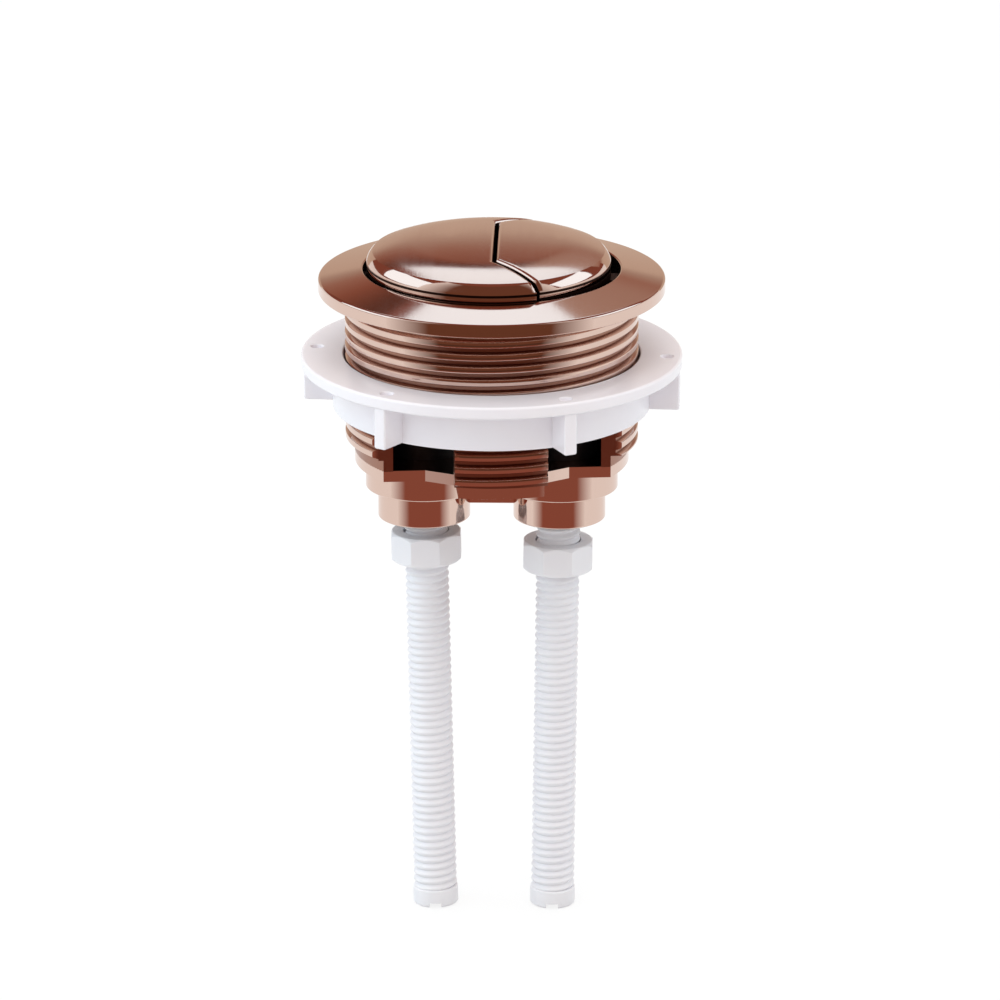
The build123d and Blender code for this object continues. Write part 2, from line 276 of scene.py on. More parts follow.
# A dark red card laid in front of the button and bent up round it, close enough for the upright walls to
# mirror it. Its ends go over into the white of the table.
CARD_START = 60
CARD_RADIUS = 220
CARD_LEVEL = -126.8
CARD_TOP = 420
CARD_REACH = math.radians(67)

front_card = turned("front_card", [(CARD_START, CARD_LEVEL), (CARD_RADIUS, CARD_LEVEL), (CARD_RADIUS, CARD_TOP)],
                    steps=180)
bpy.ops.object.mode_set(mode="EDIT")
for way in (-1, 1):
    bpy.ops.mesh.select_all(action="SELECT")
    bpy.ops.mesh.bisect(plane_co=(0, 0, 0), plane_no=(way * math.cos(CARD_REACH), math.sin(CARD_REACH), 0),
                        clear_outer=True, threshold=MM / 2000)
bpy.ops.object.mode_set(mode="OBJECT")
graded_card(front_card, "front_card_glow", [
    (-127, "#9a5a4a"), (-84, "#965c4c"), (-78, "#5c3c2f"), (-61.5, "#4e3427"), (-58.5, "#734936"),
    (CARD_TOP, "#734838"),
], fade=(38, 66))


# ---- Plating ----
# The plated parts are moulded in ABS and plated over nickel in rose copper: bright where the mould was
# polished, and satin where the face was drawn over a fine belt before plating.
ROSE_COPPER = "#d9beb1"


def bright_copper():
    """Polished plating: mirrors its surroundings, with the slight unevenness of the moulding under it."""
    material, tree = new_material("bright_copper_plating")
    place = add_node(tree, "ShaderNodeTexCoord")
    swell = add_node(tree, "ShaderNodeTexNoise", {"Scale": 260.0, "Detail": 1.0},
                     {"Vector": place.outputs["Object"]})
    haze = add_node(tree, "ShaderNodeTexNoise", {"Scale": 900.0, "Detail": 3.0}, {"Vector": place.outputs["Object"]})
    rough = add_node(tree, "ShaderNodeMapRange", {"To Min": 0.04, "To Max": 0.09}, {"Value": haze.outputs[0]})
    bump = add_node(tree, "ShaderNodeBump", {"Strength": 0.25, "Distance": 0.00004}, {"Height": swell.outputs[0]})
    metal = add_node(tree, "ShaderNodeBsdfPrincipled", {"Base Color": linear(ROSE_COPPER), "Metallic": 1.0},
                     {"Roughness": rough.outputs[0], "Normal": bump.outputs[0]})
    add_node(tree, "ShaderNodeOutputMaterial", {}, {"Surface": metal.outputs[0]})
    return material


def satin_copper(name, turn, low_rough, high_rough, line_depth):
    """Belt-brushed plating: fine lines along Y, turned a little, which spread a reflection sideways."""
    material, tree = new_material(name)
    place = add_node(tree, "ShaderNodeTexCoord")
    lines = add_node(tree, "ShaderNodeMapping",
                     {"Rotation": (0, 0, math.radians(turn)), "Scale": (1600, 45, 45)},
                     {"Vector": place.outputs["Object"]})
    belt = add_node(tree, "ShaderNodeTexNoise", {"Scale": 1.0, "Detail": 4.0, "Roughness": 0.7},
                    {"Vector": lines.outputs[0]})
    rough = add_node(tree, "ShaderNodeMapRange", {"To Min": low_rough, "To Max": high_rough},
                     {"Value": belt.outputs[0]})
    bump = add_node(tree, "ShaderNodeBump", {"Strength": line_depth, "Distance": 0.00003},
                    {"Height": belt.outputs[0]})
    metal = add_node(tree, "ShaderNodeBsdfPrincipled",
                     {"Base Color": linear(ROSE_COPPER), "Metallic": 1.0, "Anisotropic": 0.5},
                     {"Roughness": rough.outputs[0], "Normal": bump.outputs[0]})
    add_node(tree, "ShaderNodeOutputMaterial", {}, {"Surface": metal.outputs[0]})
    return material


def dull_shaded_copper():
    """Plating inside the mouldings and under the caps' rim: dull, and painted dark as painted shade for the hollows
    and gaps it lies in.
    """
    material, tree = new_material("dull_copper_painted_shade")
    place = add_node(tree, "ShaderNodeTexCoord")
    haze = add_node(tree, "ShaderNodeTexNoise", {"Scale": 700.0, "Detail": 3.0}, {"Vector": place.outputs["Object"]})
    # The two dark browns are painted shade, not the plating's own colour.
    tint = add_node(tree, "ShaderNodeMix", {"data_type": "RGBA", 6: linear("#2c1a14"), 7: linear("#402821")},
                    {0: haze.outputs[0]})
    rough = add_node(tree, "ShaderNodeMapRange", {"To Min": 0.4, "To Max": 0.6}, {"Value": haze.outputs[0]})
    metal = add_node(tree, "ShaderNodeBsdfPrincipled", {"Metallic": 1.0},
                     {"Base Color": tint.outputs[2], "Roughness": rough.outputs[0]})
    add_node(tree, "ShaderNodeOutputMaterial", {}, {"Surface": metal.outputs[0]})
    return material


bright = bright_copper()
crown_satin = satin_copper("satin_copper_crown", 0, 0.11, 0.2, 0.3)
bezel_satin = satin_copper("satin_copper_bezel", 8, 0.05, 0.1, 0.16)
dull = dull_shaded_copper()


# ---- Bezel ----
# The visible ring, which stands on the lid. It is part of the housing moulding: a low cone, drawn
# satin on top, with a polished lip, and a straight opening for the press caps.
BEZEL_RADIUS = 33.6
LIP_HEIGHT = 2.6
OPENING_RADIUS = 24.9
OPENING_HEIGHT = 4.45
LEDGE_HEIGHT = 2.65
BARREL_BORE = 25.6
ROOT_RADIUS = 27.5
NECK_LENGTH = 2.1


def rounded(corners, steps=6):
    """The points of a closed outline from (radius, height, rounding) corners, with an arc at each rounded one."""
    points = []
    for index, (radius, height, rounding) in enumerate(corners):
        here = Vector((radius, height))
        if not rounding:
            points.append(here)
            continue
        back = (Vector(corners[index - 1][:2]) - here).normalized()
        ahead = (Vector(corners[(index + 1) % len(corners)][:2]) - here).normalized()
        half = back.angle(ahead) / 2
        centre = here + (back + ahead).normalized() * rounding / math.sin(half)
        first = here + back * rounding / math.tan(half) - centre
        last = here + ahead * rounding / math.tan(half) - centre
        points += [centre + first.lerp(last, step / steps).normalized() * rounding for step in range(steps + 1)]
    return [tuple(point) for point in points]


def finish_piece(piece, body, material=None, angle=30, replaced=()):
    """Shades a piece, gives it its material and hands it to its body."""
    clear_selection()
    piece.select_set(True)
    bpy.context.view_layer.objects.active = piece
    bpy.ops.object.shade_smooth_by_angle(angle=math.radians(angle))
    shading = piece.modifiers.new("flat_walls", "WEIGHTED_NORMAL")
    shading.keep_sharp = True
    bpy.ops.object.modifier_apply(modifier=shading.name)
    if material:
        piece.data.materials.clear()
        piece.data.materials.append(material)
    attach(piece, body)
    if replaced:
        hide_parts(*replaced)


bezel_outline = rounded([
    (OPENING_RADIUS, LEDGE_HEIGHT, 0),
    (OPENING_RADIUS, OPENING_HEIGHT, 0.3),
    (BEZEL_RADIUS, LIP_HEIGHT, 0.6),
    (BEZEL_RADIUS, 0, 0.3),
    (ROOT_RADIUS - 0.02, 0, 0),
    (ROOT_RADIUS - 0.02, -NECK_LENGTH - 0.4, 0),
    (BARREL_BORE + 0.02, -NECK_LENGTH - 0.4, 0),
    (BARREL_BORE + 0.02, LEDGE_HEIGHT, 0),
])
bezel = turned("bezel", bezel_outline + bezel_outline[:1], steps=256)
bezel.data.materials.append(bright)
bezel.data.materials.append(bezel_satin)
bezel.data.materials.append(dull)
for face in bezel.data.polygons:
    reach = math.hypot(face.center.x, face.center.y) / MM
    if OPENING_RADIUS + 0.2 < reach < BEZEL_RADIUS - 0.5 and face.normal.z > 0.9:
        face.material_index = 1
    # The opening's wall and ledge get the dull plating, painted dark as painted shade under the caps.
    elif reach < OPENING_RADIUS + 0.05:
        face.material_index = 2
finish_piece(bezel, "housing", replaced=("housing",))


# ---- Threaded barrel ----
# The barrel goes down through the lid. Its coarse right-handed thread runs the whole way and stays
# on the front and back legs, between which four windows are open to the spring bells.
THREAD_RADIUS = 28.5
THREAD_PITCH = 2.5
THREAD_BOTTOM = -31.6
FIRST_CREST = -32.3
BARREL_BOTTOM = -33.9
PLATE_TOP = -31.7
POST_BORE = 25.2
TAPER_TOP = -14.0
PLAIN_RADIUS = 26.7
PLAIN_TOP = -29.6
LEG_TURN = math.radians(5.2)
LEG_HALF_WIDTH = 8.95
FOOT_HALF_WIDTH = 8.25
POST_FACE = 15.2
WINDOW_TOP = -20.0
FACET_START = 13.9
FACET_TURN = math.radians(30)
# How far the tools that cut the barrel reach past it
CLEAR_RADIUS = 32
CLEAR_BOTTOM = -36
CLEAR = 40


def threaded_copper():
    """The same plating on the thread, rougher down in the grooves and painted browner and darker there as painted
    shade.
    """
    material, tree = new_material("threaded_copper_plating")
    place = add_node(tree, "ShaderNodeTexCoord")
    level = add_node(tree, "ShaderNodeVectorMath", {"operation": "MULTIPLY", 1: (1, 1, 0)},
                     {0: place.outputs["Object"]})
    reach = add_node(tree, "ShaderNodeVectorMath", {"operation": "LENGTH"}, {0: level.outputs[0]})
    crest = add_node(tree, "ShaderNodeMapRange",
                     {"From Min": ROOT_RADIUS * MM, "From Max": (THREAD_RADIUS - 0.15) * MM},
                     {"Value": reach.outputs[1]})
    haze = add_node(tree, "ShaderNodeTexNoise", {"Scale": 900.0, "Detail": 3.0}, {"Vector": place.outputs["Object"]})
    # Towards the root the colour goes over into a darker brown, painted shade for the grooves.
    tint = add_node(tree, "ShaderNodeMix", {"data_type": "RGBA", 6: linear("#a07767"), 7: linear(ROSE_COPPER)},
                    {0: crest.outputs[0]})
    soft = add_node(tree, "ShaderNodeMapRange", {"To Min": 0.28, "To Max": 0.04}, {"Value": crest.outputs[0]})
    rough = add_node(tree, "ShaderNodeMath", {"operation": "MULTIPLY_ADD", 1: 0.06},
                     {0: haze.outputs[0], 2: soft.outputs[0]})
    metal = add_node(tree, "ShaderNodeBsdfPrincipled", {"Metallic": 1.0},
                     {"Base Color": tint.outputs[2], "Roughness": rough.outputs[0]})
    add_node(tree, "ShaderNodeOutputMaterial", {}, {"Surface": metal.outputs[0]})
    return material


def wound_thread(name, outline, pitch, turns, steps, low, high, centre=(0.0, 0.0)):
    """Winds one pitch of thread outline into a threaded bar and saws both ends off square."""
    clear_selection()
    radius, height = outline[0]
    bpy.ops.mesh.primitive_plane_add(size=MM, location=(radius * MM, 0, height * MM))
    piece = bpy.context.object
    piece.name = name
    bpy.ops.object.transform_apply()
    bpy.ops.object.mode_set(mode="EDIT")
    bpy.ops.mesh.select_all(action="SELECT")
    bpy.ops.mesh.merge(type="CENTER")
    for next_radius, next_height in outline[1:]:
        move = ((next_radius - radius) * MM, 0, (next_height - height) * MM)
        bpy.ops.mesh.extrude_vertices_move(TRANSFORM_OT_translate={"value": move})
        radius, height = next_radius, next_height
    bpy.ops.object.mode_set(mode="OBJECT")
    screw = piece.modifiers.new("winding", "SCREW")
    screw.steps = screw.render_steps = steps
    screw.iterations = turns
    screw.screw_offset = pitch * MM
    bpy.ops.object.modifier_apply(modifier=screw.name)
    bpy.ops.object.mode_set(mode="EDIT")
    bpy.ops.mesh.select_all(action="SELECT")
    bpy.ops.mesh.remove_doubles(threshold=MM / 200)
    for level, way in ((low, 1), (high, -1)):
        bpy.ops.mesh.select_all(action="SELECT")
        bpy.ops.mesh.bisect(plane_co=(0, 0, level * MM), plane_no=(0, 0, way), use_fill=True, clear_inner=True,
                            threshold=MM / 2000)
    bpy.ops.mesh.select_all(action="SELECT")
    bpy.ops.mesh.normals_make_consistent(inside=False)
    bpy.ops.transform.translate(value=(centre[0] * MM, centre[1] * MM, 0))
    bpy.ops.object.mode_set(mode="OBJECT")
    return piece


def block(name, low, high, turn=0.0):
    """A box from its low to its high corner, then turned about the upright axis."""
    clear_selection()
    middle = [(a + b) / 2 * MM for a, b in zip(low, high)]
    bpy.ops.mesh.primitive_cube_add(size=1, location=middle)
    piece = bpy.context.object
    piece.name = name
    piece.scale = [(b - a) * MM for a, b in zip(low, high)]
    bpy.ops.object.transform_apply()
    piece.rotation_euler.z = turn
    bpy.ops.object.transform_apply()
    return piece


def combine(piece, tool, operation="DIFFERENCE"):
    """Cuts, joins or trims a piece with a tool, which is used up."""
    clear_selection()
    bpy.context.view_layer.objects.active = piece
    piece.select_set(True)
    change = piece.modifiers.new("change", "BOOLEAN")
    change.object = tool
    change.operation = operation
    change.solver = "MANIFOLD"
    bpy.ops.object.modifier_apply(modifier=change.name)
    bpy.data.objects.remove(tool)


# One pitch of the thread: half a groove, a flank, the crest with its corners broken, and the same down again
ridge = [(ROOT_RADIUS, -1.25), (ROOT_RADIUS, -0.98), (28.34, -0.64), (28.45, -0.54), (THREAD_RADIUS, -0.38),
         (THREAD_RADIUS, 0.38), (28.45, 0.54), (28.34, 0.64), (ROOT_RADIUS, 0.98), (ROOT_RADIUS, 1.25)]
barrel_outline = [(radius, FIRST_CREST - 2 * THREAD_PITCH + height) for radius, height in ridge]
barrel = wound_thread("threaded_barrel", barrel_outline, THREAD_PITCH, turns=16, steps=192, low=PLATE_TOP - 0.8,
                      high=-NECK_LENGTH)
combine(barrel, turned("thread_end", [
    (ROOT_RADIUS - 0.05, THREAD_BOTTOM), (ROOT_RADIUS - 0.05, CLEAR_BOTTOM), (CLEAR_RADIUS, CLEAR_BOTTOM),
    (CLEAR_RADIUS, THREAD_BOTTOM), (ROOT_RADIUS - 0.05, THREAD_BOTTOM),
]))
combine(barrel, turned("bore", [
    (POST_BORE, -CLEAR), (POST_BORE, TAPER_TOP - BARREL_BORE + POST_BORE), (BARREL_BORE, TAPER_TOP), (BARREL_BORE, 5),
    (0, 5),
], floor=True))
for side in (-1, 1):
    for face in (-1, 1):
        left, right = sorted((side * LEG_HALF_WIDTH, side * CLEAR))
        front, back = sorted((face * POST_FACE, face * CLEAR))
        combine(barrel, block("window", (left, front, -CLEAR), (right, back, WINDOW_TOP), LEG_TURN))
    left, right = sorted((side * (FOOT_HALF_WIDTH - 0.05), side * CLEAR))
    combine(barrel, block("foot", (left, -CLEAR, -CLEAR), (right, CLEAR, PLATE_TOP - 0.1), LEG_TURN))
    left, right = sorted((side * LEG_HALF_WIDTH, side * CLEAR))
    relief = turned("relief", [
        (PLAIN_RADIUS, PLAIN_TOP), (PLAIN_RADIUS, CLEAR_BOTTOM), (CLEAR_RADIUS, CLEAR_BOTTOM),
        (CLEAR_RADIUS, PLAIN_TOP), (PLAIN_RADIUS, PLAIN_TOP),
    ])
    combine(relief, block("side", (left, -CLEAR, -CLEAR), (right, CLEAR, 0), LEG_TURN), "INTERSECT")
    combine(barrel, relief)
barrel.data.materials.clear()
barrel.data.materials.append(threaded_copper())
barrel.data.materials.append(dull)
for face in barrel.data.polygons:
    reach = math.hypot(face.center.x, face.center.y) / MM
    # The bore gets the dull plating, painted dark as painted shade inside the barrel.
    face.material_index = 1 if reach < BARREL_BORE + 0.05 and face.normal.xy.dot(face.center.xy) < 0 else 0
finish_piece(barrel, "housing")


# ---- Base plate and spring cups ----
# The floor of the same moulding: a plate with a flat and a facet under each window, and two stepped
# cups that hold the springs and guide the plungers, with a thin web between them.
CUP_PLACES = (-13.2, 13.2)
UPPER_CUP_RADIUS = 11.4
CUP_STEP = -39.9
LOWER_CUP_RADIUS = 9.0
CUP_BOTTOM = -46.1
POCKET_RADIUS = 9.9
POCKET_FLOOR = -38.3
HOLE_TOP = -30
GUIDE_RADIUS = 7.6
WEB_HALF_LENGTH = 4.9
WEB_TOP_HALF_LENGTH = 3.2
WEB_HALF_WIDTH = 0.9
WEB_BOTTOM = -43.4


def break_edges(piece, width, segments=3, angle=30):
    """Rounds the edges of a piece that are sharper than an angle in degrees."""
    clear_selection()
    piece.select_set(True)
    bpy.context.view_layer.objects.active = piece
    edge = piece.modifiers.new("edge", "BEVEL")
    edge.width = width * MM
    edge.segments = segments
    edge.limit_method = "ANGLE"
    edge.angle_limit = math.radians(angle)
    bpy.ops.object.modifier_apply(modifier=edge.name)


def arc_points(radius, start, stop, steps):
    """Points on a circle about the axis, from one angle to another in radians."""
    angles = [start + (stop - start) * step / steps for step in range(steps + 1)]
    return [(radius * math.cos(angle), radius * math.sin(angle)) for angle in angles]


def flat_plate(name, corners, low, high, turn=0.0):
    """A plate with an outline drawn corner by corner."""
    clear_selection()
    x, y = corners[0]
    bpy.ops.mesh.primitive_plane_add(size=MM, location=(x * MM, y * MM, low * MM))
    piece = bpy.context.object
    piece.name = name
    bpy.ops.object.transform_apply()
    bpy.ops.object.mode_set(mode="EDIT")
    bpy.ops.mesh.select_all(action="SELECT")
    bpy.ops.mesh.merge(type="CENTER")
    for next_x, next_y in corners[1:] + corners[:1]:
        move = ((next_x - x) * MM, (next_y - y) * MM, 0)
        bpy.ops.mesh.extrude_vertices_move(TRANSFORM_OT_translate={"value": move})
        x, y = next_x, next_y
    bpy.ops.mesh.select_all(action="SELECT")
    bpy.ops.mesh.remove_doubles(threshold=MM / 2000)
    bpy.ops.mesh.select_all(action="SELECT")
    bpy.ops.mesh.edge_face_add()
    bpy.ops.mesh.extrude_region_move(TRANSFORM_OT_translate={"value": (0, 0, (high - low) * MM)})
    bpy.ops.mesh.select_all(action="SELECT")
    bpy.ops.mesh.normals_make_consistent(inside=False)
    bpy.ops.object.mode_set(mode="OBJECT")
    piece.rotation_euler.z = turn
    bpy.ops.object.transform_apply()
    return piece


foot_angle = math.acos(FOOT_HALF_WIDTH / ROOT_RADIUS)
side_angle = math.asin(POST_FACE / PLAIN_RADIUS)
facet_end = POST_FACE + (FACET_START - FOOT_HALF_WIDTH) * math.tan(FACET_TURN)
half_outline = arc_points(ROOT_RADIUS, foot_angle, math.pi - foot_angle, 24)
half_outline += [(-FOOT_HALF_WIDTH, facet_end), (-FACET_START, POST_FACE)]
half_outline += arc_points(PLAIN_RADIUS, math.pi - side_angle, math.pi + side_angle, 40)
half_outline += [(-FACET_START, -POST_FACE), (-FOOT_HALF_WIDTH, -facet_end)]
plate_outline = half_outline + [(-x, -y) for x, y in half_outline]
base_plate = flat_plate("base_plate", plate_outline, BARREL_BOTTOM, PLATE_TOP, LEG_TURN)
for place in CUP_PLACES:
    combine(base_plate, turned("hole", [(POCKET_RADIUS, CLEAR_BOTTOM), (POCKET_RADIUS, HOLE_TOP), (0, HOLE_TOP)],
                               centre=(place, 0), floor=True))
break_edges(base_plate, 0.15, segments=2, angle=35)
finish_piece(base_plate, "housing", bright, angle=25)

for name, place in zip(("left_cup", "right_cup"), CUP_PLACES):
    cup_outline = rounded([
        (GUIDE_RADIUS, CUP_BOTTOM, 0.3),
        (LOWER_CUP_RADIUS, CUP_BOTTOM, 0.4),
        (LOWER_CUP_RADIUS, CUP_STEP, 0.25),
        (UPPER_CUP_RADIUS, CUP_STEP, 0.4),
        (UPPER_CUP_RADIUS, PLATE_TOP - 1, 0),
        (POCKET_RADIUS + 0.01, PLATE_TOP - 0.01, 0),
        (POCKET_RADIUS + 0.01, POCKET_FLOOR, 0.2),
        (GUIDE_RADIUS, POCKET_FLOOR, 0.2),
    ])
    cup = turned(name, cup_outline + cup_outline[:1], steps=128, centre=(place, 0))
    finish_piece(cup, "housing", bright)

# The web reaches into both cups' walls, and less far above their pockets' floors
web = block("cup_web", (-WEB_HALF_LENGTH, -WEB_HALF_WIDTH, WEB_BOTTOM),
            (WEB_HALF_LENGTH, WEB_HALF_WIDTH, POCKET_FLOOR - 0.3))
combine(web, block("web_top", (-WEB_TOP_HALF_LENGTH, -WEB_HALF_WIDTH, POCKET_FLOOR - 0.4),
                   (WEB_TOP_HALF_LENGTH, WEB_HALF_WIDTH, BARREL_BOTTOM + 0.3)), "UNION")
break_edges(web, 0.2)
finish_piece(web, "housing", bright)


# ---- Press caps ----
# One domed shell parted into a large and a small key along a line that breaks back to the rim at both
# ends. The crowns are drawn satin, the steep shoulder and the rolled edges of the parting are bright.
# A fine groove runs round under the rim, and the skirt is painted dark in it and from SKIRT_SHADE down, as painted
# shade under the rim and in the gap.
CAP_RIM_RADIUS = 24.25
CAP_RIM_HEIGHT = 6.0
CROWN_RADIUS = 23.05
CROWN_HEIGHT = 7.75
BROW_REACH = 15.0
BROW_TURN = math.radians(5.0)
CROWN_TURN = math.radians(21.3)
SKIRT_BOTTOM = -1.5
CAP_WALL = 1.8
SPLIT_GAP = 0.6
SPLIT_OFFSET = 0.8
SPLIT_FLAT = 27.7
SPLIT_BOTTOM = -10
SPLIT_TOP = 20
HALF_CAP_SHIFT = -1.2
EDGE_ROLL = 0.75
SOCKET_BORE = 6.0
SOCKET_WALL = 1.6
SOCKET_BOTTOM = 0.95
SOCKET_TOP = 14
HOOK_RADIUS = 25.3
HOOK_HALF_WIDTH = 2.5
HOOK_BOTTOM = 1.35
HOOK_TOP = 2.55
SHOULDER_BULGE = 0.12
GROOVE_LOW = 5.2
GROOVE_HIGH = 5.7
GROOVE_DEPTH = 0.12
SKIRT_SHADE = 4.5
CORNER_RELIEF = 0.4

centre_arc = BROW_REACH / math.sin(BROW_TURN)
crown_arc = (CROWN_RADIUS - BROW_REACH) / (math.sin(CROWN_TURN) - math.sin(BROW_TURN))
brow_height = CROWN_HEIGHT + crown_arc * (math.cos(BROW_TURN) - math.cos(CROWN_TURN))
dome_top = brow_height + centre_arc * (1 - math.cos(BROW_TURN))


def dome_height(radius):
    """Height of the crown over the seat at a radius."""
    if radius < BROW_REACH:
        return dome_top - centre_arc + math.sqrt(centre_arc ** 2 - radius ** 2)
    across = radius - BROW_REACH + crown_arc * math.sin(BROW_TURN)
    return brow_height - crown_arc * math.cos(BROW_TURN) + math.sqrt(crown_arc ** 2 - across ** 2)


def shoulder_points(inset, steps=8):
    """The shoulder's outline from the rim up to the crown, a shallow arc that bulges outwards."""
    low = Vector((CAP_RIM_RADIUS - inset, CAP_RIM_HEIGHT - inset / 2))
    high = Vector((CROWN_RADIUS - inset / 2, CROWN_HEIGHT - inset))
    outwards = Vector((high.y - low.y, low.x - high.x)).normalized()
    points = []
    for step in range(steps + 1):
        way = step / steps
        points.append(tuple(low.lerp(high, way) + outwards * SHOULDER_BULGE * 4 * way * (1 - way)))
    return points


def split_lines(side, inset):
    """The three parting planes as (point, normal), the normals towards the small cap, for one cap's edge.

    The small cap's two slanting edges stand back a little further.
    """
    step = SPLIT_GAP / 2 + inset
    slant = step + (CORNER_RELIEF if side > 0 else 0)
    edge = SPLIT_OFFSET + side * step
    half_flat = SPLIT_FLAT / 2 - side * (slant * math.sqrt(2) - step)
    return [((edge, 0), (1, 0)), ((edge, half_flat), (math.sqrt(0.5), -math.sqrt(0.5))),
            ((edge, -half_flat), (math.sqrt(0.5), math.sqrt(0.5)))]


def past_lines(lines, x, y):
    """How far a point is past each parting plane, towards the small cap."""
    return [(x - point[0]) * normal[0] + (y - point[1]) * normal[1] for point, normal in lines]


def split_tool(side, inset):
    """A block with the small cap's outline as seen from above, at one cap's edge."""
    lines = split_lines(side, inset)
    edge, half_flat = lines[0][0][0], lines[1][0][1]
    return flat_plate("split_tool", [(edge, -half_flat), (edge + CLEAR, -half_flat - CLEAR),
                                     (edge + CLEAR, half_flat + CLEAR), (edge, half_flat)], SPLIT_BOTTOM, SPLIT_TOP)


def cap_form(name, side, shift, inset, steps):
    """The whole dome of a cap, parted but not yet hollow, drawn in by the inset."""
    shoulder = shoulder_points(inset)
    wall = CAP_RIM_RADIUS - inset
    groove = [(wall, SKIRT_SHADE, 0), (wall, GROOVE_LOW, 0), (wall - GROOVE_DEPTH, GROOVE_LOW + 0.08, 0),
              (wall - GROOVE_DEPTH, GROOVE_HIGH - 0.08, 0), (wall, GROOVE_HIGH, 0)]
    skirt = rounded([(wall, SKIRT_BOTTOM - inset, 0), *([] if inset else groove), (*shoulder[0], 0.5),
                     (*shoulder[1], 0)], steps=4)
    skirt += shoulder[2:]
    crown_steps = 40
    crown = [(CROWN_RADIUS - inset / 2) * (1 - step / crown_steps) for step in range(1, crown_steps)] + [0.0]
    form = turned(name, skirt + [(radius, dome_height(radius) - inset) for radius in crown], steps=steps,
                  centre=(shift, 0), floor=True)
    combine(form, split_tool(side, inset), "DIFFERENCE" if side < 0 else "INTERSECT")
    return form


def roll_edges(form, side, shift):
    """Rolls the parting edge of a crown over: edge loops beside the parting, let down along a quarter circle."""
    lines = split_lines(side, 0)
    clear_selection()
    bpy.context.view_layer.objects.active = form
    form.select_set(True)
    bpy.ops.object.mode_set(mode="EDIT")
    bpy.ops.mesh.select_mode(type="FACE")
    for depth in [1 - math.sin(math.radians(15 * step)) for step in range(6)]:
        for point, normal in lines:
            bpy.ops.mesh.select_all(action="DESELECT")
            bpy.ops.object.mode_set(mode="OBJECT")
            for face in form.data.polygons:
                face.select = face.center.z > (CAP_RIM_HEIGHT - 0.3) * MM and face.normal.z > 0.1
            bpy.ops.object.mode_set(mode="EDIT")
            reach = side * EDGE_ROLL * depth
            beside = ((point[0] + normal[0] * reach) * MM, (point[1] + normal[1] * reach) * MM, 0)
            bpy.ops.mesh.bisect(plane_co=beside, plane_no=(*normal, 0), threshold=MM / 2000)
    bpy.ops.mesh.select_mode(type="VERT")
    bpy.ops.object.mode_set(mode="OBJECT")
    for vertex in form.data.vertices:
        x, y, height = vertex.co / MM
        radius = math.hypot(x - shift, y)
        top = dome_height(min(radius, CROWN_RADIUS))
        if radius > CROWN_RADIUS:
            top -= (radius - CROWN_RADIUS) * (CROWN_HEIGHT - CAP_RIM_HEIGHT) / (CAP_RIM_RADIUS - CROWN_RADIUS)
        if abs(height - top) > 0.3 or height < CAP_RIM_HEIGHT:
            continue
        past = past_lines(lines, x, y)
        depth = min(past) if side > 0 else -min(past)
        if depth < EDGE_ROLL:
            depth = max(depth, 0)
            vertex.co.z -= (EDGE_ROLL - math.sqrt(EDGE_ROLL ** 2 - (EDGE_ROLL - depth) ** 2)) * MM


def press_cap(name, side, shift, hook_turns, body, node):
    """A press cap: crown and skirt, hollowed, with the plunger's socket and the snap hooks inside."""
    cap = cap_form(name, side, shift, 0, 256)
    roll_edges(cap, side, shift)
    combine(cap, cap_form("hollow", side, shift, CAP_WALL, 96))
    tube = rounded([(SOCKET_BORE, SOCKET_BOTTOM, 0), (SOCKET_BORE + SOCKET_WALL, SOCKET_BOTTOM, 0),
                    (SOCKET_BORE + SOCKET_WALL, SOCKET_TOP, 0), (SOCKET_BORE, SOCKET_TOP, 0)])
    socket = turned("socket", tube + tube[:1], steps=64, centre=(side * CUP_PLACES[1], 0))
    combine(socket, cap_form("socket_limit", side, shift, CAP_WALL / 2, 96), "INTERSECT")
    combine(cap, socket, "UNION")
    for turn in hook_turns:
        combine(cap, block("hook", (CAP_RIM_RADIUS - abs(shift) - 1, -HOOK_HALF_WIDTH, HOOK_BOTTOM),
                           (HOOK_RADIUS, HOOK_HALF_WIDTH, HOOK_TOP), math.radians(turn)), "UNION")
    cap.data.materials.clear()
    cap.data.materials.append(bright)
    cap.data.materials.append(crown_satin)
    cap.data.materials.append(dull)
    lines = split_lines(side, 0)
    for face in cap.data.polygons:
        x, y, height = face.center / MM
        past = past_lines(lines, x, y)
        depth = min(past) if side > 0 else -min(past)
        radius = math.hypot(x - shift, y)
        on_crown = radius < CROWN_RADIUS and face.normal.z > 0.85 and height > CROWN_HEIGHT - 0.1
        inwards = face.normal.x * (x - shift) + face.normal.y * y < 0
        # Faces in the parting, on the inside, in the groove and low on the skirt get the dull plating, painted dark
        # as painted shade.
        inside = depth < 0.02 or face.normal.z < 0.05 and (inwards or radius < CROWN_RADIUS - 1)
        inside = inside or height < SKIRT_SHADE or GROOVE_LOW < height < GROOVE_HIGH
        face.material_index = 2 if inside else 1 if on_crown and depth > EDGE_ROLL * 0.6 else 0
    finish_piece(cap, body, angle=18, replaced=(node,))
    return cap


press_cap("large_press_cap", -1, 0, (130, 180, 230), "full_button", "full_flush_cap")
press_cap("small_press_cap", 1, HALF_CAP_SHIFT, (-45, 0, 45), "half_button", "half_flush_cap")


